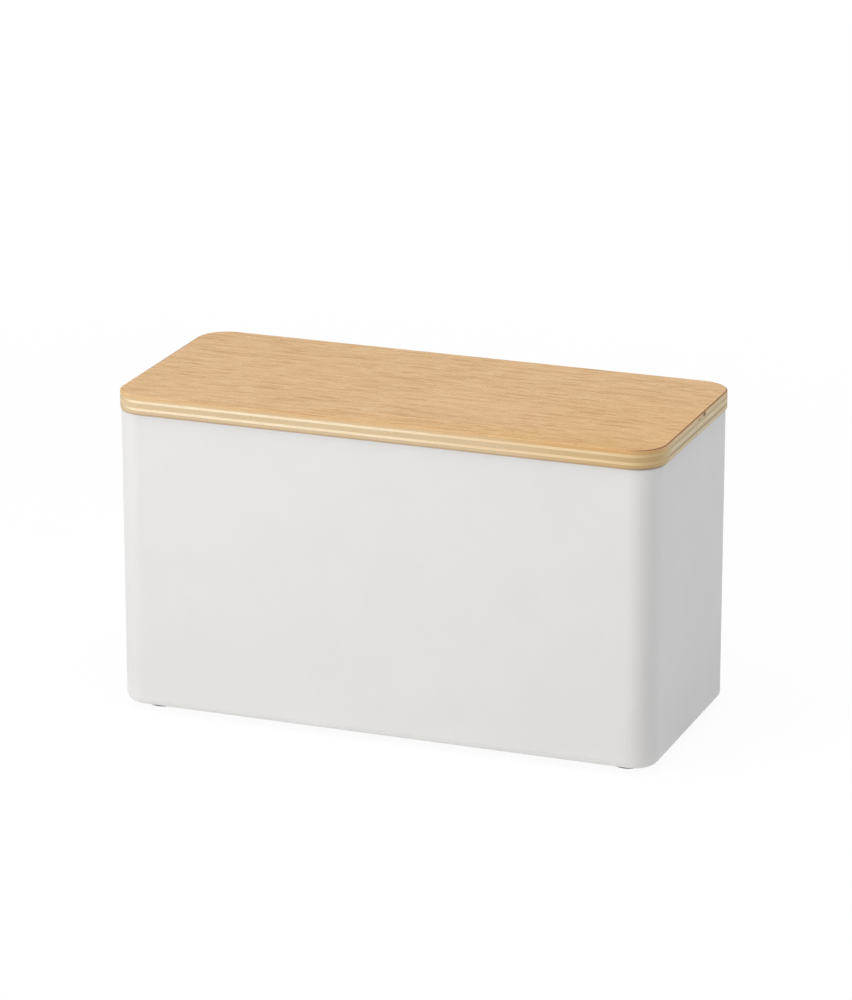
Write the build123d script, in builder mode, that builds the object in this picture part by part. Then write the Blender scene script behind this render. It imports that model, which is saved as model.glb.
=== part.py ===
"""Storage box: a white coated sheet steel body on four rubber feet, with a loose plywood lid.

Millimetres. X runs along the box, -Y is its front and +Z is up. The origin is on the ground plane,
under the middle of the box.
"""
from build123d import *
import math
import os

# Body: one sheet of steel, wrapped round and welded
body_length = 263.0
body_depth = 115.0
body_height = 143.0
sheet = 0.8
corner_radius = 12.0

# Foot of the wall: it bends in to a narrow flange that carries the floor plate
bottom_bend = 4.0
flange_flat = 4.0
floor_clearance = 0.3

# Rim of the wall: the sheet is folded in and down, so that no cut edge is left at the mouth
rim_gap = 0.8
rim_depth = 8.0
rim_land = 0.6

# Rubber feet, glued to the floor plate inside the flange
foot_radius = 7.5
foot_height = 3.0
foot_clearance = 0.5
foot_taper = 0.5
foot_round = 0.6

# Plywood lid: five plies between two face veneers
lid_overhang = 1.2
lid_corner_radius = 15.0
lid_edge_round = 0.8
face_veneer = 0.3
cross_ply = 1.75
long_ply = 1.35
core_ply = 2.2

# Corner locators: moulded blocks under the lid that keep it centred in the rim
locator_size = 22.0
locator_depth = 8.0
locator_clearance = 0.7
locator_round = 3.0
locator_lead_in = 1.0

# Countersunk wood screws that hold the locators
screw_length = 12.0
screw_radius = 1.5
screw_head_radius = 3.0
screw_head_angle = 90
screw_tip_length = 2.5
screw_recess_width = 0.8
screw_recess_span = 3.4
screw_recess_depth = 1.0
screw_clearance = 0.1
pilot_clearance = 0.05
pilot_spare_depth = 0.5

# Heights and insets that follow from them
body_base = foot_height
body_top = body_base + body_height
floor_low = body_base + sheet
rim_width = 2 * sheet + rim_gap
rim_round = (rim_width - rim_land) / 2
flange_width = bottom_bend + flange_flat
foot_inset = flange_width + foot_clearance + foot_radius
locator_inset = rim_width + locator_clearance
locator_low = body_top - locator_depth

os.makedirs("parts", exist_ok=True)


def write(part, name):
    """Labels a finished piece and writes it under its own name."""
    part.label = name
    export_step(part, f"parts/{name}.step")


def corner_points(inset):
    """The plan point at each corner of the body that is an inset away from both of its sides."""
    x = body_length / 2 - inset
    y = body_depth / 2 - inset
    return {
        "front_left": (-x, -y),
        "front_right": (x, -y),
        "back_left": (-x, y),
        "back_right": (x, y),
    }


def body_outline(inset, mode=Mode.ADD):
    """The body's outline drawn in by an inset, all round and round the corners too."""
    length = body_length - 2 * inset
    depth = body_depth - 2 * inset
    RectangleRounded(length, depth, corner_radius - inset, mode=mode)


# Body wall: a shell of even thickness, open above, cut back to a flange below
with BuildPart() as body_wall:
    with BuildSketch(Plane.XY.offset(body_base)):
        body_outline(0)
    extrude(amount=body_height)
    fillet(body_wall.faces().sort_by(Axis.Z)[0].edges(), bottom_bend)
    offset(amount=-sheet, openings=body_wall.faces().sort_by(Axis.Z)[-1])
    with BuildSketch(Plane.XY.offset(body_base)):
        body_outline(flange_width)
    extrude(amount=sheet, mode=Mode.SUBTRACT)

    # The folded rim: an inner leaf, joined to the wall by the fold along the top
    with BuildSketch(Plane.XY.offset(body_top - rim_depth)):
        body_outline(rim_width - sheet)
        body_outline(rim_width, mode=Mode.SUBTRACT)
    extrude(amount=rim_depth)
    with BuildSketch(Plane.XY.offset(body_top - sheet)):
        body_outline(0)
        body_outline(rim_width, mode=Mode.SUBTRACT)
    extrude(amount=sheet)
    fillet(body_wall.faces().sort_by(Axis.Z)[-1].edges(), rim_round)
write(body_wall.part, "body_wall")

# Floor plate: it lies on the flange inside the wall and is spot-welded to it
with BuildPart() as floor_plate:
    with BuildSketch(Plane.XY.offset(floor_low)):
        body_outline(bottom_bend + floor_clearance)
    extrude(amount=sheet)
write(floor_plate.part, "floor_plate")

# Feet: slightly tapered rubber discs with a rounded lower edge
for corner, foot_point in corner_points(foot_inset).items():
    with BuildPart() as foot:
        with BuildSketch():
            with Locations(foot_point):
                Circle(foot_radius - foot_taper)
        with BuildSketch(Plane.XY.offset(floor_low)):
            with Locations(foot_point):
                Circle(foot_radius)
        loft()
        fillet(foot.faces().sort_by(Axis.Z)[0].edges(), foot_round)
    write(foot.part, f"foot_{corner}")

# Lid board: shaped and drilled as one board, then cut into its layers from the bottom up
lid_layers = {
    "lid_back_veneer": face_veneer,
    "lid_bottom_ply": cross_ply,
    "lid_lower_ply": long_ply,
    "lid_core_ply": core_ply,
    "lid_upper_ply": long_ply,
    "lid_top_ply": cross_ply,
    "lid_face_veneer": face_veneer,
}
lid_length = body_length + 2 * lid_overhang
lid_depth = body_depth + 2 * lid_overhang
locator_points = corner_points(locator_inset + locator_size / 2)
pilot_depth = screw_length - locator_depth + pilot_spare_depth

with BuildPart() as lid_board:
    with BuildSketch(Plane.XY.offset(body_top)):
        RectangleRounded(lid_length, lid_depth, lid_corner_radius)
    extrude(amount=sum(lid_layers.values()))
    fillet(lid_board.faces().filter_by(Axis.Z).edges(), lid_edge_round)
    with BuildSketch(Plane.XY.offset(body_top)):
        with Locations(*locator_points.values()):
            Circle(screw_radius + pilot_clearance)
    extrude(amount=pilot_depth, mode=Mode.SUBTRACT)

layer_low = body_top
for layer_name, thickness in lid_layers.items():
    with BuildPart() as layer:
        with BuildSketch(Plane.XY.offset(layer_low)):
            Rectangle(lid_length, lid_depth)
        extrude(amount=thickness)
        add(lid_board.part, mode=Mode.INTERSECT)
    write(layer.part, layer_name)
    layer_low += thickness

# Corner locators: each one's outer corner follows the inside of the rim
for corner, (block_x, block_y) in locator_points.items():
    with BuildPart() as locator:
        with BuildSketch(Plane.XY.offset(locator_low)):
            body_outline(locator_inset)
            with Locations((block_x, block_y)):
                RectangleRounded(locator_size, locator_size, locator_round, mode=Mode.INTERSECT)
        extrude(amount=locator_depth)
        chamfer(locator.faces().sort_by(Axis.Z)[0].edges(), locator_lead_in)
        with Locations(Plane((block_x, block_y, locator_low), z_dir=(0, 0, -1))):
            CounterSinkHole(
                screw_radius + screw_clearance,
                screw_head_radius + screw_clearance,
                counter_sink_angle=screw_head_angle,
            )
    write(locator.part, f"lid_locator_{corner}")

# Locator screws: one screw, head down, with a cross recess in its head, repeated at each locator
screw_head_height = (screw_head_radius - screw_radius) / math.tan(math.radians(screw_head_angle / 2))
with BuildPart() as screw:
    with BuildSketch(Plane.XZ):
        with BuildLine():
            Polyline(
                (0, 0),
                (screw_head_radius, 0),
                (screw_radius, screw_head_height),
                (screw_radius, screw_length - screw_tip_length),
                (0, screw_length),
                close=True,
            )
        make_face()
    revolve(axis=Axis.Z)
    with BuildSketch():
        Rectangle(screw_recess_span, screw_recess_width)
        Rectangle(screw_recess_width, screw_recess_span)
    extrude(amount=screw_recess_depth, mode=Mode.SUBTRACT)

with BuildPart() as locator_screws:
    with Locations(*[(x, y, locator_low) for x, y in locator_points.values()]):
        add(screw.part)
write(locator_screws.part, "locator_screws")
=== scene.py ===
# %% [markdown]
# A kitchen storage box: white powder-coated sheet steel on four rubber feet, with a loose plywood lid.
# The solids come ready made and ready placed, in metres, with the origin on the ground under the box,
# the length along X and the front towards -Y. They already carry every shape that shows, down to the
# layers of the lid, so nothing is modelled a second time. This lesson dresses them: a camera, a floor,
# light, and finishes that are built from procedural nodes.
#
# Loading comes first, because every later step asks the loaded model where things are.

# %% Load the solids
import math
from collections import namedtuple

import bmesh
import bpy
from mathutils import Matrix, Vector


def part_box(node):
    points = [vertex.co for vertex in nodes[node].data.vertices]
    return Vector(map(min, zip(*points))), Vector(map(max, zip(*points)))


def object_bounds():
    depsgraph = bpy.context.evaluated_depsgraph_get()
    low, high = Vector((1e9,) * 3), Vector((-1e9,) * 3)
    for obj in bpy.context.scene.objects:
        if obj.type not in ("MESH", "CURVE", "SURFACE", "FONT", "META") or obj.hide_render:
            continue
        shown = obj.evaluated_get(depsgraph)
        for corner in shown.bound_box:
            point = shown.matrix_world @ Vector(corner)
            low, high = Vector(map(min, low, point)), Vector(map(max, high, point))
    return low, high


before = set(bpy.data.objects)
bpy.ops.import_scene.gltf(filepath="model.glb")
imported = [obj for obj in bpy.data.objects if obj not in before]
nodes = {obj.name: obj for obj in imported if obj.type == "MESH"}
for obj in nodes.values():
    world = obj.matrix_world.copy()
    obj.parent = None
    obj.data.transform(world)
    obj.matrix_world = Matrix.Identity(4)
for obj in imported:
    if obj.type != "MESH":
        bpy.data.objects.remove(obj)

millimetres_in_metre = 1000.0
cad_low, cad_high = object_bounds()
print("pieces:", sorted(nodes))
print("size in mm:", [round(millimetres_in_metre * side, 1) for side in cad_high - cad_low])

# %% [markdown]
# The camera stands where the picture was taken from: a long lens, about 2.2 m away, looking down a little
# on the front and the right side. A long lens keeps the edges of a small object nearly parallel. A camera
# can be aimed by eye, but a small error tilts the whole box, so this one was fitted to the outline of the
# body and the lid. The lens is worked out for a picture whose longer side is its height.

# %% Camera
camera_place = Vector((0.7404, -1.9607, 0.7754))
camera_heading = Vector((-0.33583, 0.8907, -0.30639))
camera_lens = 170.07
sensor_side = 36.0
nearest_seen = 0.05
farthest_seen = 60.0
box_middle = (cad_low + cad_high) / 2

camera_data = bpy.data.cameras.new("camera")
camera_data.lens = camera_lens
camera_data.sensor_width = sensor_side
camera_data.clip_start = nearest_seen
camera_data.clip_end = farthest_seen
camera = bpy.data.objects.new("camera", camera_data)
camera.location = camera_place
camera.rotation_mode = "QUATERNION"
camera.rotation_quaternion = camera_heading.to_track_quat("-Z", "Y")
bpy.context.scene.collection.objects.link(camera)
bpy.context.scene.camera = camera
print("camera to box:", round((camera_place - box_middle).length, 3), "m")

# %% [markdown]
# Materials are node trees. They could be wired by hand in the shader editor, but in a script a few
# helpers keep every finish short enough to read. The first adds a node and fills its inputs, with a
# number, a colour or another node's output. Two do sums, on numbers and on vectors. Two more fade a value
# into a soft mask or spread it over a range, and the last lays one colour over another through a mask.

# %% Helpers for node trees
def add_node(tree, kind, inputs=None, **settings):
    """Adds a node; an input may be a plain value or the output of another node."""
    node = tree.nodes.new(kind)
    for name, value in settings.items():
        setattr(node, name, value)
    for name, value in (inputs or {}).items():
        if isinstance(value, bpy.types.NodeSocket):
            tree.links.new(value, node.inputs[name])
        else:
            node.inputs[name].default_value = value
    return node


def calculate(tree, operation, first, second=0.0):
    """One sum on one or two numbers."""
    return add_node(tree, "ShaderNodeMath", {0: first, 1: second}, operation=operation).outputs[0]


def calculate_vector(tree, operation, first, second=(0.0, 0.0, 0.0)):
    """One sum on one or two vectors. A length or a dot product comes out as a number."""
    node = add_node(tree, "ShaderNodeVectorMath", {0: first, 1: second}, operation=operation)
    return node.outputs["Value" if operation in ("LENGTH", "DOT_PRODUCT") else "Vector"]


def fade(tree, value, start, end):
    """A mask that goes softly from 0 where the value is start to 1 where it is end."""
    return add_node(
        tree,
        "ShaderNodeMapRange",
        {"Value": value, "From Min": start, "From Max": end},
        interpolation_type="SMOOTHSTEP",
    ).outputs["Result"]


def spread(tree, value, low, high):
    """A value between 0 and 1, spread evenly from low to high."""
    scale = add_node(tree, "ShaderNodeMapRange", {"Value": value, "To Min": low, "To Max": high})
    return scale.outputs["Result"]


def overlay(tree, mask, strength, under, over, blend="MIX"):
    """Lays the colour over on the colour under, where the mask is, at the given strength."""
    # A Mix node's colours are its inputs 6 and 7, and they come out at 2
    share = calculate(tree, "MULTIPLY", mask, strength)
    colours = {0: share, 6: under, 7: over}
    return add_node(tree, "ShaderNodeMix", colours, data_type="RGBA", blend_type=blend).outputs[2]


print("helpers for node trees ready")

# %% [markdown]
# The floor is a plain white sheet, so large that its edge never shows. A backdrop that curves up behind
# would give the same white from one side only, and this box is looked at from all round.

# %% Floor
floor_half_size = 6.0

floor_shape = bmesh.new()
bmesh.ops.create_grid(floor_shape, x_segments=2, y_segments=2, size=floor_half_size)
floor_mesh = bpy.data.meshes.new("floor")
floor_shape.to_mesh(floor_mesh)
floor_shape.free()
floor = bpy.data.objects.new("floor", floor_mesh)
bpy.context.scene.collection.objects.link(floor)
print("floor:", 2 * floor_half_size, "m square")

# %% [markdown]
# The floor could be lit until it burns out, but the same light would burn out the white box too. So the
# camera sees mostly a white glow there, with a share of real shading mixed in that keeps the soft shadow
# under the box. Light Path tells the rays that show the floor from those that only carry its light.
# Light that bounces off the floor onto the box meets an ordinary pale surface. That one is a little darker
# near the box, so that the foot of the wall reads a touch darker than its top, and bright along the box's
# own outline, so that the rounded bottom edge doesn't sink into the dark. From below the floor is clear.

# %% Floor finish
glow_strength = 1.0
glow_near_box = 0.94
glow_far_away = 1.0
shade_start = 0.18
shade_end = 0.78
shade_white = (0.98, 0.98, 0.98, 1.0)
bounce_start = 0.0
bounce_end = 0.40
bounce_near = (0.64, 0.64, 0.64, 1.0)
bounce_far = (0.86, 0.86, 0.86, 1.0)
rim_start = 0.003
rim_end = 0.012
bounce_rim = (0.95, 0.95, 0.95, 1.0)


def seen_rays(tree):
    """1 for the rays that show a surface to the camera, straight, in a gloss or through glass."""
    rays = add_node(tree, "ShaderNodeLightPath").outputs
    seen = calculate(tree, "MAXIMUM", rays["Is Camera Ray"], rays["Is Glossy Ray"])
    return calculate(tree, "MAXIMUM", seen, rays["Is Transmission Ray"])


def mix_shaders(tree, share, first, second):
    """The first shader where the share is 0, the second where it is 1."""
    return add_node(tree, "ShaderNodeMixShader", {0: share, 1: first, 2: second}).outputs[0]


floor_material = bpy.data.materials.new("white_floor")
floor_material.use_nodes = True
tree = floor_material.node_tree
tree.nodes.clear()

beyond = calculate_vector(tree, "ABSOLUTE", add_node(tree, "ShaderNodeTexCoord").outputs["Object"])
beyond = calculate_vector(tree, "SUBTRACT", beyond, (cad_high.x, cad_high.y, 0.0))
from_box = calculate_vector(tree, "LENGTH", calculate_vector(tree, "MAXIMUM", beyond))

glow = add_node(tree, "ShaderNodeEmission", {"Strength": glow_strength}).outputs[0]
shade = add_node(tree, "ShaderNodeBsdfDiffuse", {"Color": shade_white}).outputs[0]
glow_share = spread(tree, fade(tree, from_box, shade_start, shade_end), glow_near_box, glow_far_away)
shown = mix_shaders(tree, glow_share, shade, glow)

tone = overlay(tree, fade(tree, from_box, bounce_start, bounce_end), 1.0, bounce_near, bounce_far)
tone = overlay(tree, fade(tree, from_box, rim_end, rim_start), 1.0, tone, bounce_rim)
bounce = add_node(tree, "ShaderNodeBsdfDiffuse", {"Color": tone}).outputs[0]

above = mix_shaders(tree, seen_rays(tree), bounce, shown)
clear = add_node(tree, "ShaderNodeBsdfTransparent").outputs[0]
underneath = add_node(tree, "ShaderNodeNewGeometry").outputs["Backfacing"]
both_sides = mix_shaders(tree, underneath, above, clear)
add_node(tree, "ShaderNodeOutputMaterial", {"Surface": both_sides})
floor_mesh.materials.append(floor_material)
print("finish:", floor_material.name, "on the floor")

# %% [markdown]
# The light is a soft studio: some light from all round, a large softbox low at the front left, one
# overhead for the lid, and a weaker, cooler one at the right. One strong lamp would be simpler, but its
# shadows would be hard. With three, the front reads brighter than the right side, and the corner between
# them has its own gentle dip. The low softbox lights the wall right up to the lid, where a high one would
# throw a shadow. Camera and reflections see a plain white world. The Standard view shows every colour as
# it is written.

# %% Light
world_strength = 0.30
seen_strength = 1.0
white = (1.0, 1.0, 1.0)
cool_white = (0.985, 1.0, 1.08)

world = bpy.data.worlds.new("studio")
bpy.context.scene.world = world
world.use_nodes = True
tree = world.node_tree
tree.nodes.clear()
strength = spread(tree, seen_rays(tree), world_strength, seen_strength)
sky = add_node(tree, "ShaderNodeBackground", {"Color": (*white, 1.0), "Strength": strength})
add_node(tree, "ShaderNodeOutputWorld", {"Surface": sky.outputs[0]})


def add_softbox(name, direction, distance, size, power, colour=white):
    """A square area lamp that looks at the middle of the box."""
    lamp_data = bpy.data.lights.new(name, "AREA")
    lamp_data.color = colour
    lamp_data.size = size
    lamp_data.energy = power
    lamp = bpy.data.objects.new(name, lamp_data)
    lamp.location = box_middle + direction.normalized() * distance
    lamp.rotation_mode = "QUATERNION"
    lamp.rotation_quaternion = (-direction).to_track_quat("-Z", "Y")
    bpy.context.scene.collection.objects.link(lamp)
    print(name, "at", [round(place, 2) for place in lamp.location], "m,", power, "W")


add_softbox("softbox_front_left", Vector((-0.555, -0.784, 0.278)), distance=2.2, size=1.3, power=22.7)
add_softbox("softbox_overhead", Vector((0.0, -0.14, 1.0)), distance=1.3, size=1.0, power=12.4)
add_softbox("softbox_right", Vector((0.94, 0.34, 0.15)), distance=2.0, size=0.9, power=6.3, colour=cool_white)
bpy.context.scene.view_settings.view_transform = "Standard"

# %% [markdown]
# Every finish starts the same way: an empty material with a Principled BSDF, and the object's own
# coordinates. A picture on a UV map could carry a pattern too, but it would blur close up. A pattern that
# is drawn on object coordinates stays sharp, and stays on its piece wherever the piece goes. They are
# taken in millimetres here, so that the scale of a pattern can be read straight from a ruler.

# %% Helpers for materials
def new_material(name):
    """An empty material with a Principled BSDF, and the coordinates that its patterns are drawn on."""
    material = bpy.data.materials.new(name)
    material.use_nodes = True
    tree = material.node_tree
    shader = tree.nodes["Principled BSDF"]
    coordinates = add_node(tree, "ShaderNodeTexCoord")
    return material, tree, shader, coordinates


def in_millimetres(tree, coordinates, shift=(0.0, 0.0, 0.0)):
    """The object's own coordinates in millimetres, shifted so that each piece has its own pattern."""
    scale = (millimetres_in_metre,) * 3
    inputs = {"Vector": coordinates.outputs["Object"], "Scale": scale, "Location": shift}
    return add_node(tree, "ShaderNodeMapping", inputs).outputs["Vector"]


def noise(tree, vector, scale=1.0, detail=2.0, roughness=0.5, seed=0.0):
    """Soft noise between 0 and 1, its clouds about 1 / scale across. Another seed, another noise."""
    return add_node(
        tree,
        "ShaderNodeTexNoise",
        {"Vector": vector, "W": seed, "Scale": scale, "Detail": detail, "Roughness": roughness},
        noise_dimensions="4D",
    ).outputs["Fac"]


def add_relief(tree, shader, height, depth):
    """Lets a height between 0 and 1 turn the surface's normal, as a relief of that depth in metres."""
    bump = add_node(tree, "ShaderNodeBump", {"Height": height, "Distance": depth})
    tree.links.new(bump.outputs["Normal"], shader.inputs["Normal"])


def finish_pieces(material, *node_names):
    """Gives loaded solids their finish."""
    for node_name in node_names:
        nodes[node_name].material_slots[0].material = material
    print("finish:", material.name, "on", *node_names)


print("pieces that wait for a finish:", len(nodes))

# %% [markdown]
# Some effects are needed by more than one finish. They could be copied from material to material, but a
# change would then have to be made in each. So each effect is a node group: built once, then placed in a
# material with that material's own values. The first is the grit that paint, rubber, plastic and plated
# steel share: a fine grain, a wider ripple, and broad soft clouds for uneven colour.

# %% Node group: grit
grit_detail = 2.0
ripple_detail = 1.0
cloud_scale = 0.03
cloud_detail = 3.0
cloud_roughness = 0.6
cloud_range = (0.35, 0.65)


def new_group(name, inputs, outputs):
    """A node group with vector or number inputs and number outputs."""
    group = bpy.data.node_groups.new(name, "ShaderNodeTree")
    for socket_name, value in inputs.items():
        kind = "NodeSocketVector" if isinstance(value, tuple) else "NodeSocketFloat"
        socket = group.interface.new_socket(socket_name, in_out="INPUT", socket_type=kind)
        socket.default_value = value
    for socket_name in outputs:
        group.interface.new_socket(socket_name, in_out="OUTPUT", socket_type="NodeSocketFloat")
    start = group.nodes.new("NodeGroupInput")
    end = group.nodes.new("NodeGroupOutput")
    print("group:", name)
    return group, start.outputs, end.inputs


def place_group(tree, group, inputs):
    """Places a node group in a material."""
    return add_node(tree, "ShaderNodeGroup", inputs, node_tree=group).outputs


surface_grit, start, end = new_group(
    "surface_grit",
    {"Vector": (0.0, 0.0, 0.0), "Grit Size": 0.3, "Ripple Size": 2.0, "Ripple Share": 0.5},
    ("Height", "Mottle"),
)
tree = surface_grit
here = start["Vector"]
grit = noise(tree, here, calculate(tree, "DIVIDE", 1.0, start["Grit Size"]), grit_detail)
ripple = noise(tree, here, calculate(tree, "DIVIDE", 1.0, start["Ripple Size"]), ripple_detail)
# A Mix node's numbers are its inputs 2 and 3
height = add_node(tree, "ShaderNodeMix", {0: start["Ripple Share"], 2: grit, 3: ripple}).outputs[0]
clouds = noise(tree, here, cloud_scale, cloud_detail, cloud_roughness)
tree.links.new(height, end["Height"])
tree.links.new(fade(tree, clouds, *cloud_range), end["Mottle"])


def gritty_material(name, grit_size, ripple_size, ripple_share):
    """A new material with the grit placed in it. Its sizes are in millimetres."""
    material, tree, shader, coordinates = new_material(name)
    grit = place_group(
        tree,
        surface_grit,
        {
            "Vector": in_millimetres(tree, coordinates),
            "Grit Size": grit_size,
            "Ripple Size": ripple_size,
            "Ripple Share": ripple_share,
        },
    )
    return material, tree, shader, grit

# %% [markdown]
# Powder coat is a melted skin of plastic over the steel. Close up it has a very fine orange peel,
# and its white is a little uneven. One flat white would look like paper, and real bumps would need
# millions of faces, so a bump node carries the peel and the clouds tint the colour.

# %% Powder-coated steel
coat_white = (0.785, 0.777, 0.764, 1.0)
coat_shade = (0.762, 0.753, 0.740, 1.0)
coat_mottle = 0.6
coat_roughness = (0.46, 0.60)
coat_relief = 0.00002

coat_material, tree, shader, grit = gritty_material(
    "powder_coat_white", grit_size=0.25, ripple_size=1.4, ripple_share=0.7
)
colour = overlay(tree, grit["Mottle"], coat_mottle, coat_white, coat_shade)
tree.links.new(colour, shader.inputs["Base Color"])
tree.links.new(spread(tree, grit["Height"], *coat_roughness), shader.inputs["Roughness"])
add_relief(tree, shader, grit["Height"], coat_relief)
finish_pieces(coat_material, "body_wall", "floor_plate")

# %% [markdown]
# The feet are moulded from grey rubber. Rubber is dull, slightly gritty, and has a paler bloom on the
# high spots of its skin. The bloom could have a noise of its own, but then it would miss the high spots,
# so the same grit drives both the colour and the relief.

# %% Rubber feet
rubber_grey = (0.17, 0.17, 0.17, 1.0)
rubber_bloom = (0.25, 0.25, 0.24, 1.0)
rubber_bloom_range = (0.4, 0.7)
rubber_bloom_strength = 0.4
rubber_roughness = 0.8
rubber_relief = 0.00004
corners = ("front_left", "front_right", "back_left", "back_right")

rubber_material, tree, shader, grit = gritty_material(
    "grey_rubber", grit_size=0.2, ripple_size=1.0, ripple_share=0.3
)
bloom = fade(tree, grit["Height"], *rubber_bloom_range)
colour = overlay(tree, bloom, rubber_bloom_strength, rubber_grey, rubber_bloom)
tree.links.new(colour, shader.inputs["Base Color"])
shader.inputs["Roughness"].default_value = rubber_roughness
add_relief(tree, shader, grit["Height"], rubber_relief)
finish_pieces(rubber_material, *("foot_" + corner for corner in corners))

# %% [markdown]
# The corner blocks under the lid are moulded plastic, a little off white. A mould leaves a fine matte
# skin with hardly any relief, and a slow drift in colour where the plastic flowed and cooled. The powder
# coat would nearly do for them, but it is coarser, and its white is cleaner.

# %% Plastic locators
plastic_white = (0.76, 0.75, 0.71, 1.0)
plastic_shade = (0.71, 0.70, 0.66, 1.0)
plastic_mottle = 0.7
plastic_roughness = 0.42
plastic_relief = 0.00002

plastic_material, tree, shader, grit = gritty_material(
    "moulded_plastic", grit_size=0.12, ripple_size=6.0, ripple_share=0.2
)
colour = overlay(tree, grit["Mottle"], plastic_mottle, plastic_white, plastic_shade)
tree.links.new(colour, shader.inputs["Base Color"])
shader.inputs["Roughness"].default_value = plastic_roughness
add_relief(tree, shader, grit["Height"], plastic_relief)
finish_pieces(plastic_material, *("lid_locator_" + corner for corner in corners))

# %% [markdown]
# The screws are zinc plated: a true metal, with a cloudy skin that is brighter in one place and duller
# in the next. A metal shows its surroundings rather than a colour of its own, so the clouds change the
# roughness as much as the colour, and the skin needs no relief.

# %% Zinc-plated screws
zinc_light = (0.66, 0.66, 0.64, 1.0)
zinc_dark = (0.52, 0.53, 0.53, 1.0)
zinc_spangle_range = (0.4, 0.6)
zinc_spangle_strength = 0.8
zinc_roughness = (0.25, 0.50)

zinc_material, tree, shader, grit = gritty_material(
    "zinc_plate", grit_size=0.1, ripple_size=0.8, ripple_share=0.5
)
spangle = fade(tree, grit["Height"], *zinc_spangle_range)
colour = overlay(tree, spangle, zinc_spangle_strength, zinc_light, zinc_dark)
tree.links.new(colour, shader.inputs["Base Color"])
tree.links.new(spread(tree, grit["Height"], *zinc_roughness), shader.inputs["Roughness"])
shader.inputs["Metallic"].default_value = 1.0
finish_pieces(zinc_material, "locator_screws")

# %% [markdown]
# All the wood shares one figure: broad patches and bands, soft streaks, dark strokes about two
# centimetres long, pale flecks half as long, and fine pores. It could be drawn flat on each face, but it
# is drawn in space here, with the grain along X, so the same group gives lines on a face that runs with
# the grain and fine dots on one that cuts across it, as real wood does. Stretched noise makes the soft
# marks, and a stretched cell pattern makes the crisp pores. Sizes are in millimetres.

# %% Node group: wood figure
wood_figure, start, end = new_group(
    "wood_figure",
    {
        "Vector": (0.0, 0.0, 0.0),
        "Streak Length": 90.0,
        "Streak Width": 1.3,
        "Stroke Length": 22.0,
        "Stroke Width": 1.05,
        "Fleck Length": 10.0,
        "Fleck Width": 0.85,
        "Pore Length": 2.4,
        "Pore Width": 0.42,
        "Pore Share": 0.5,
        "Sway": 1.0,
    },
    ("Patches", "Bands", "Streaks", "Strokes", "Flecks", "Pores"),
)
tree = wood_figure
sway_size = (80.0, 30.0)
noise_middle = 0.5
pore_edge = 0.42
pore_core = 0.12
SoftMark = namedtuple("SoftMark", "name seed length width faint full")
soft_marks = (
    SoftMark("Patches", 1.0, 55.0, 22.0, faint=0.35, full=0.65),
    SoftMark("Bands", 2.0, 160.0, 7.0, faint=0.35, full=0.65),
    SoftMark("Streaks", 3.0, start["Streak Length"], start["Streak Width"], faint=0.40, full=0.60),
    SoftMark("Strokes", 4.0, start["Stroke Length"], start["Stroke Width"], faint=0.51, full=0.61),
    SoftMark("Flecks", 5.0, start["Fleck Length"], start["Fleck Width"], faint=0.53, full=0.62),
)


def stretched(tree, vector, length, width):
    """Space divided by a length along the grain and by a width across it."""
    size = add_node(tree, "ShaderNodeCombineXYZ", {0: length, 1: width, 2: width}).outputs[0]
    return calculate_vector(tree, "DIVIDE", vector, size)


# The whole figure drifts a little from side to side, because no grain runs quite straight
sway = noise(tree, stretched(tree, start["Vector"], *sway_size), detail=1.0)
sway = calculate(tree, "MULTIPLY", calculate(tree, "SUBTRACT", sway, noise_middle), start["Sway"])
drift = add_node(tree, "ShaderNodeCombineXYZ", {1: sway, 2: sway}).outputs[0]
grain_space = calculate_vector(tree, "ADD", start["Vector"], drift)

for mark in soft_marks:
    clouds = noise(tree, stretched(tree, grain_space, mark.length, mark.width), seed=mark.seed)
    tree.links.new(fade(tree, clouds, mark.faint, mark.full), end[mark.name])

# Only a share of the cells holds a pore, picked by the cell's own random colour
pore_space = stretched(tree, grain_space, start["Pore Length"], start["Pore Width"])
cells = add_node(tree, "ShaderNodeTexVoronoi", {"Vector": pore_space, "Scale": 1.0}).outputs
pore_shape = fade(tree, cells["Distance"], pore_edge, pore_core)
pore_draw = add_node(tree, "ShaderNodeSeparateColor", {"Color": cells["Color"]}).outputs[0]
pore_picked = calculate(tree, "LESS_THAN", pore_draw, start["Pore Share"])
tree.links.new(calculate(tree, "MULTIPLY", pore_shape, pore_picked), end["Pores"])

# %% [markdown]
# A layer of plywood looks different where the saw cut along its grain and where it cut across: long
# grain is pale, end grain is darker. Each side could have a material of its own, but the change would
# show as a seam. The surface's own normal says which grain it is, so one mask does the whole edge, and
# fades from one to the other round the corners. Between two layers there is a thin dark line of glue,
# which is a mask of the height. A third mask is a soft spot, for stains, pin knots and warmer corners.

# %% Node groups: end grain, glue line and soft spot
spot_edge = 1.0
spot_core = 0.3

end_grain, start, end = new_group(
    "end_grain",
    {"Normal": (0.0, 0.0, 1.0), "Grain Axis": (1.0, 0.0, 0.0), "From": 0.15, "To": 0.8},
    ("End",),
)
tree = end_grain
across = calculate_vector(tree, "DOT_PRODUCT", start["Normal"], start["Grain Axis"])
across = calculate(tree, "ABSOLUTE", across)
tree.links.new(fade(tree, across, start["From"], start["To"]), end["End"])

glue_line, start, end = new_group(
    "glue_line", {"Height": 0.0, "Low": 0.0, "High": 1.0, "Width": 0.18}, ("Glue",)
)
tree = glue_line
from_low = calculate(tree, "SUBTRACT", start["Height"], start["Low"])
from_high = calculate(tree, "SUBTRACT", start["High"], start["Height"])
from_nearest = calculate(tree, "MINIMUM", from_low, from_high)
in_widths = calculate(tree, "DIVIDE", from_nearest, start["Width"])
tree.links.new(fade(tree, in_widths, 1.0, 0.0), end["Glue"])

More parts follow.
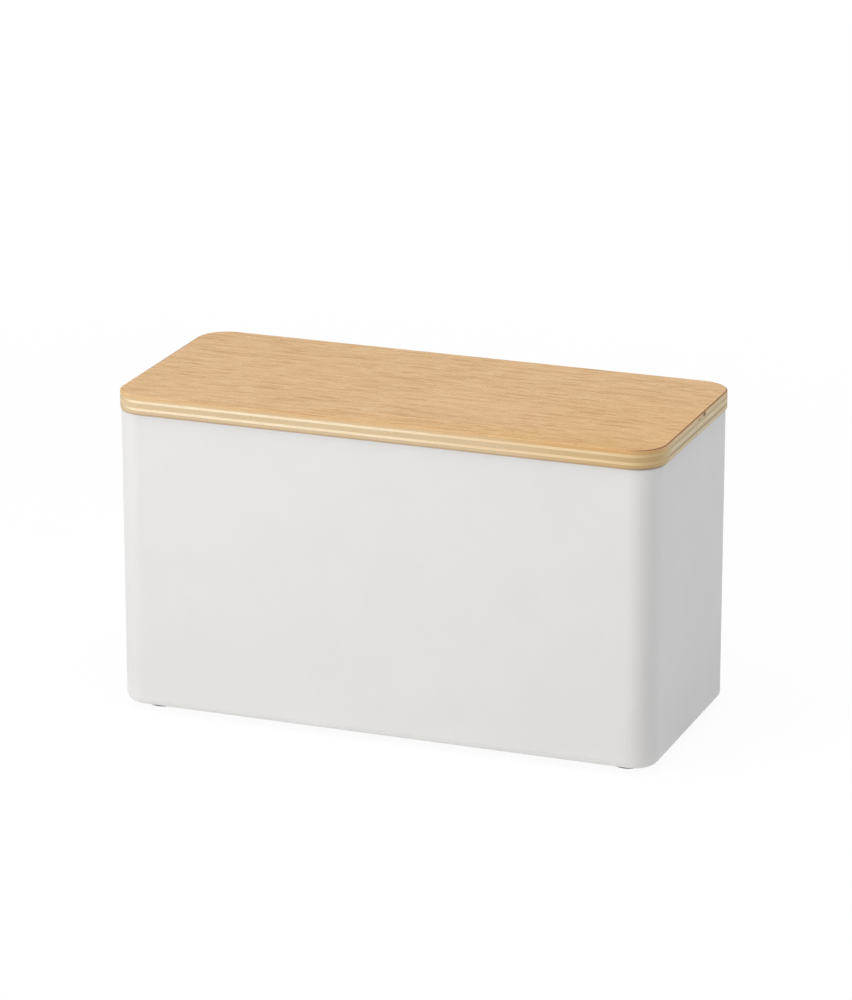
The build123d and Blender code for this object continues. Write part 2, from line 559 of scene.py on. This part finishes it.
soft_spot, start, end = new_group(
    "soft_spot",
    {"Vector": (0.0, 0.0, 0.0), "Place": (0.0, 0.0, 0.0), "Size": (1.0, 1.0, 1.0)},
    ("Spot",),
)
tree = soft_spot
away = calculate_vector(tree, "SUBTRACT", start["Vector"], start["Place"])
away = calculate_vector(tree, "LENGTH", calculate_vector(tree, "DIVIDE", away, start["Size"]))
tree.links.new(fade(tree, away, spot_edge, spot_core), end["Spot"])

# %% [markdown]
# The marks of the figure are laid over a base colour from the broadest to the finest, each in a colour of
# its own. They could all share one dark tone, but then the wood would look printed. End grain shows fewer
# marks than long grain, because there the strokes and flecks are only dots. A spot is mixed in like paint,
# or multiplies the wood like a stain, which keeps the grain's contrast.

# %% Marks and spots
mark_strengths = {
    "Patches": 1.0,
    "Bands": 0.50,
    "Streaks": 0.90,
    "Strokes": 0.80,
    "Flecks": 0.70,
    "Pores": 0.80,
}
end_strengths = {"Patches": 1.0, "Streaks": 1.0, "Pores": 0.50}
Spot = namedtuple("Spot", "place size colour strength blend", defaults=("MIX",))


def spot_mask(tree, here, place, size):
    """1 in the middle of a soft spot and 0 outside it, with its place and size in millimetres."""
    return place_group(tree, soft_spot, {"Vector": here, "Place": place, "Size": size})["Spot"]


def add_marks(tree, figure, tone, strengths):
    """Lays the marks of the wood figure over a base colour."""
    colour = tone["Base"]
    for mark, strength in strengths.items():
        colour = overlay(tree, figure[mark], strength, colour, tone[mark])
    return colour


print("marks on long grain:", *mark_strengths)
print("marks on end grain:", *end_strengths)

# %% [markdown]
# One function dresses any layer of the lid. Seven materials could be written out one by one, but they
# differ only in their values: a shift that gives the layer a pattern of its own, the colours of the long
# grain and the end grain, the direction of the grain, how far the end grain reaches round a corner, the
# gloss, the strength of the glue line, and a list of spots. The glue and the spots are laid on last,
# because neither follows the grain.

# %% Wood finish
along_x = (1.0, 0.0, 0.0)
along_y = (0.0, 1.0, 0.0)
quarter_turn = (0.0, 0.0, math.radians(90.0))
wood_relief = 0.00003
wood_roughness = (0.52, 0.64)
glue_width = 0.20


def wood_material(
    name,
    node_name,
    shift,
    long_tone,
    end_tone,
    grain_along_y,
    figure_values,
    end_range,
    gloss,
    glue_strength,
    spots,
    painted_light_ends=(),
):
    """The finish of one layer of the lid, from its broad tones to its glue lines and spots.

    A painted-light end is the place and size of a corner where the end grain is kept as pale as the
    long grain: painted light, where the lamp from the left falls on the end grain.
    """
    material, tree, shader, coordinates = new_material(name)
    here = in_millimetres(tree, coordinates)
    place = in_millimetres(tree, coordinates, shift)
    if grain_along_y:
        place = add_node(tree, "ShaderNodeMapping", {"Vector": place, "Rotation": quarter_turn}).outputs[0]
    figure = place_group(tree, wood_figure, {"Vector": place, **figure_values})
    axis = along_y if grain_along_y else along_x
    end_from, end_to = end_range
    end = place_group(
        tree,
        end_grain,
        {"Normal": coordinates.outputs["Normal"], "Grain Axis": axis, "From": end_from, "To": end_to},
    )["End"]
    # Painted light: the end grain is kept pale where the lamp from the left falls on it
    for lit_place, lit_size in painted_light_ends:
        painted_light_mask = spot_mask(tree, here, lit_place, lit_size)
        end = calculate(tree, "MULTIPLY", end, calculate(tree, "SUBTRACT", 1.0, painted_light_mask))
    low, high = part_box(node_name)
    glue = place_group(
        tree,
        glue_line,
        {
            "Height": add_node(tree, "ShaderNodeSeparateXYZ", {0: here}).outputs["Z"],
            "Low": millimetres_in_metre * low.z,
            "High": millimetres_in_metre * high.z,
            "Width": glue_width,
        },
    )["Glue"]

    colour = add_marks(tree, figure, long_tone, mark_strengths)
    colour = overlay(tree, end, 1.0, colour, add_marks(tree, figure, end_tone, end_strengths))
    colour = overlay(tree, glue, glue_strength, colour, end_tone["Pores"])
    for spot in spots:
        mask = spot_mask(tree, here, spot.place, spot.size)
        colour = overlay(tree, mask, spot.strength, colour, spot.colour, spot.blend)
    tree.links.new(colour, shader.inputs["Base Color"])
    shader.inputs["Specular IOR Level"].default_value = gloss
    tree.links.new(spread(tree, figure["Streaks"], *wood_roughness), shader.inputs["Roughness"])
    height = calculate(tree, "SUBTRACT", figure["Streaks"], figure["Pores"])
    add_relief(tree, shader, height, wood_relief)
    finish_pieces(material, node_name)


print("wood finish ready, with glue lines", glue_width, "mm wide")

# %% [markdown]
# The two face veneers are a light oak with a matte clear coat, grain along X. On the short sides and
# round the corners their end grain drinks more of the coat, and shows as a thin reddish-brown line.
# The line could be a strip of its own, but the end grain mask puts it where the real one is. At the front
# left corner a painted-light end fades it out: painted light, where the lamp from the left falls on the
# end grain. Along the front edge painted shade darkens the veneer's rounding, to tone down its highlight.
# Towards the front and the right the wood turns warmer, which two multiplied spots do without washing
# out the grain. The veneer is so thin that the glue's mask covers its whole face: that strength tones all
# of it, and stays low.

# %% Face veneers
veneer_long = {
    "Base": (0.742, 0.460, 0.221, 1.0),
    "Patches": (0.735, 0.466, 0.201, 1.0),
    "Bands": (0.685, 0.408, 0.182, 1.0),
    "Streaks": (0.815, 0.542, 0.284, 1.0),
    "Strokes": (0.582, 0.328, 0.132, 1.0),
    "Flecks": (0.862, 0.618, 0.356, 1.0),
    "Pores": (0.415, 0.230, 0.088, 1.0),
}
veneer_end = {
    "Base": (0.205, 0.095, 0.038, 1.0),
    "Patches": (0.240, 0.115, 0.045, 1.0),
    "Streaks": (0.280, 0.140, 0.060, 1.0),
    "Pores": (0.150, 0.070, 0.030, 1.0),
}
painted_edge_shade = (0.560, 0.345, 0.160, 1.0)
front_tint = (0.988, 0.955, 0.860, 1.0)
right_tint = (0.988, 0.965, 0.895, 1.0)
# Painted light: the corner where the lamp from the left falls on the veneer's end grain, kept pale
painted_light_corner = ((-130.0, -56.0, 154.8), (60.0, 60.0, 30.0))
veneer_look = {
    "long_tone": veneer_long,
    "end_tone": veneer_end,
    "grain_along_y": False,
    "figure_values": {"Sway": 1.2},
    "end_range": (0.0, 0.16),
    "gloss": 0.35,
    "glue_strength": 0.25,
    "spots": (
        # Painted shade on the veneer's front rounding, toning down the highlight along that edge
        Spot((-10.0, -58.7, 154.7), (150.0, 8.0, 0.3), painted_edge_shade, 0.60),
        Spot((70.0, -60.0, 155.0), (170.0, 24.0, 4.0), front_tint, 1.0, "MULTIPLY"),
        Spot((125.0, -25.0, 155.0), (100.0, 75.0, 4.0), right_tint, 1.0, "MULTIPLY"),
    ),
    "painted_light_ends": (painted_light_corner,),
}
wood_material("veneer_face", "lid_face_veneer", shift=(0.0, 0.0, 0.0), **veneer_look)
wood_material("veneer_back", "lid_back_veneer", shift=(310.0, 90.0, 40.0), **veneer_look)

# %% [markdown]
# The five plies show only at the edge. Two run along the box and read as pale cream lines on its front;
# three run across it and read tan there. On the short sides the two swap places, as they really do.
# One tan and one cream would do from afar, but the sheets of a real board differ, so the top ply's end
# grain is more orange and the bottom ply's more peach. Tan long grain shows on the short sides only, and
# is greyer below the top ply.

# %% Ply tones
cream_long = {
    "Base": (0.945, 0.775, 0.545, 1.0),
    "Patches": (0.940, 0.775, 0.530, 1.0),
    "Bands": (0.910, 0.735, 0.495, 1.0),
    "Streaks": (0.955, 0.800, 0.585, 1.0),
    "Strokes": (0.895, 0.715, 0.475, 1.0),
    "Flecks": (0.960, 0.820, 0.610, 1.0),
    "Pores": (0.820, 0.640, 0.410, 1.0),
}
cream_end = {
    "Base": (0.590, 0.440, 0.255, 1.0),
    "Patches": (0.620, 0.480, 0.270, 1.0),
    "Streaks": (0.680, 0.530, 0.330, 1.0),
    "Pores": (0.450, 0.330, 0.180, 1.0),
}
tan_long = {
    "Base": (0.780, 0.610, 0.380, 1.0),
    "Patches": (0.790, 0.635, 0.400, 1.0),
    "Bands": (0.750, 0.570, 0.345, 1.0),
    "Streaks": (0.810, 0.650, 0.420, 1.0),
    "Strokes": (0.710, 0.535, 0.320, 1.0),
    "Flecks": (0.830, 0.670, 0.440, 1.0),
    "Pores": (0.620, 0.450, 0.260, 1.0),
}
grey_tan_long = {
    "Base": (0.785, 0.670, 0.435, 1.0),
    "Patches": (0.795, 0.690, 0.455, 1.0),
    "Bands": (0.755, 0.630, 0.395, 1.0),
    "Streaks": (0.815, 0.705, 0.475, 1.0),
    "Strokes": (0.715, 0.590, 0.365, 1.0),
    "Flecks": (0.835, 0.725, 0.495, 1.0),
    "Pores": (0.625, 0.500, 0.300, 1.0),
}
orange_end = {
    "Base": (0.690, 0.465, 0.240, 1.0),
    "Patches": (0.750, 0.520, 0.285, 1.0),
    "Streaks": (0.770, 0.550, 0.310, 1.0),
    "Pores": (0.560, 0.345, 0.170, 1.0),
}
core_end = {
    "Base": (0.650, 0.485, 0.285, 1.0),
    "Patches": (0.705, 0.528, 0.312, 1.0),
    "Streaks": (0.755, 0.580, 0.360, 1.0),
    "Pores": (0.500, 0.345, 0.200, 1.0),
}
peach_end = {
    "Base": (0.650, 0.475, 0.290, 1.0),
    "Patches": (0.690, 0.510, 0.315, 1.0),
    "Streaks": (0.730, 0.555, 0.355, 1.0),
    "Pores": (0.500, 0.340, 0.195, 1.0),
}
long_tones = (cream_long, tan_long, grey_tan_long)
end_tones = (cream_end, orange_end, core_end, peach_end)
print("ply tones:", len(long_tones), "for long grain and", len(end_tones), "for end grain")

# %% [markdown]
# Wood is never the same from end to end. The whole edge turns warmer towards its right front corner. The
# top ply has an orange stain at that corner, and two pin knots in a brown halo in the middle of its
# right-hand edge. Three spots are painted shade rather than wood: a darker rim along the top ply's rounded
# top edge is painted shade that tones down the highlight there, the lower cream ply's right-hand end is
# greyed with painted shade on the shaded short side, and a browner line along the bottom ply's lower edge
# is a painted shadow where the lid meets the body. Noise would scatter such marks anywhere, so they are
# spots at their real places, in millimetres from the box's own origin.

# %% Ply spots
warm_cream = (0.800, 0.570, 0.300, 1.0)
warm_tan = (0.630, 0.410, 0.180, 1.0)
corner_cream = (0.690, 0.500, 0.240, 1.0)
corner_tan = (0.560, 0.380, 0.160, 1.0)
stain_orange = (0.700, 0.410, 0.160, 1.0)
painted_rim_shade = (0.610, 0.375, 0.180, 1.0)
knot_brown = (0.200, 0.085, 0.035, 1.0)
knot_halo = (0.560, 0.300, 0.140, 1.0)
painted_side_shade = (0.440, 0.360, 0.240, 1.0)
painted_gap_shadow = (0.340, 0.235, 0.140, 1.0)

right_corner = (122.0, -60.0, 151.0)
cream_reach = (145.0, 28.0, 30.0)
tan_reach = (72.0, 28.0, 30.0)
corner_tip = (131.0, -57.0, 151.0)
tip_reach = (30.0, 22.0, 30.0)
whole_edge = 2000.0

upper_ply_spots = (
    Spot(right_corner, cream_reach, warm_cream, 0.65),
    Spot(corner_tip, tip_reach, corner_cream, 0.50),
)
core_ply_spots = (
    Spot(right_corner, tan_reach, warm_tan, 0.60),
    Spot(corner_tip, tip_reach, corner_tan, 0.30),
)
top_ply_spots = (
    Spot((112.0, -62.0, 153.8), (62.0, 32.0, 20.0), stain_orange, 0.85),
    # Painted shade along the rounded top edge, toning down its highlight
    Spot((0.0, 0.0, 154.6), (whole_edge, whole_edge, 0.8), painted_rim_shade, 0.50),
    Spot((132.7, 7.0, 154.2), (2.0, 6.5, 1.2), knot_halo, 0.45),
    Spot((132.7, 10.5, 153.8), (2.0, 2.8, 1.3), knot_brown, 0.95),
    Spot((132.7, 2.8, 153.2), (2.0, 1.9, 0.8), knot_brown, 0.85),
)
lower_ply_spots = (
    *upper_ply_spots,
    # Painted shade: a greyer patch on the lower ply's right-hand end, on the shaded short side
    Spot((132.7, 0.0, 148.7), (6.0, 60.0, 12.0), painted_side_shade, 0.55),
)
bottom_ply_spots = (
    *core_ply_spots,
    # Painted shadow: a browner line along the lid's lower edge, where the lid meets the body
    Spot((0.0, 0.0, 146.5), (whole_edge, whole_edge, 0.55), painted_gap_shadow, 0.35),
)
print("spots on the top ply:", len(top_ply_spots))

# %% [markdown]
# The plies are dressed from the top down, by the same function as the veneers. Their figure is finer,
# because only a millimetre or two of each one shows, and the veneers' long marks would look like smears
# there. Every ply has its own shift, so that no two layers carry the same pattern.

# %% Plies
ply_look = {
    "figure_values": {
        "Streak Length": 30.0,
        "Streak Width": 0.6,
        "Stroke Length": 8.0,
        "Stroke Width": 0.7,
        "Fleck Length": 6.0,
        "Fleck Width": 0.7,
        "Pore Length": 3.5,
        "Pore Width": 0.22,
        "Pore Share": 0.4,
        "Sway": 1.0,
    },
    "end_range": (0.15, 0.80),
    "gloss": 0.15,
}
cream_ply = {
    **ply_look,
    "long_tone": cream_long,
    "end_tone": cream_end,
    "grain_along_y": False,
    "glue_strength": 0.15,
}
tan_ply = {**ply_look, "grain_along_y": True, "glue_strength": 0.42}

wood_material(
    "ply_top",
    "lid_top_ply",
    shift=(20.0, 0.0, 10.0),
    long_tone=tan_long,
    end_tone=orange_end,
    spots=top_ply_spots,
    **tan_ply,
)
wood_material(
    "ply_upper", "lid_upper_ply", shift=(70.0, 30.0, 20.0), spots=upper_ply_spots, **cream_ply
)
wood_material(
    "ply_core",
    "lid_core_ply",
    shift=(130.0, 60.0, 30.0),
    long_tone=grey_tan_long,
    end_tone=core_end,
    spots=core_ply_spots,
    **tan_ply,
)
wood_material(
    "ply_lower", "lid_lower_ply", shift=(190.0, 90.0, 50.0), spots=lower_ply_spots, **cream_ply
)
wood_material(
    "ply_bottom",
    "lid_bottom_ply",
    shift=(250.0, 120.0, 70.0),
    long_tone=grey_tan_long,
    end_tone=peach_end,
    spots=bottom_ply_spots,
    **tan_ply,
)
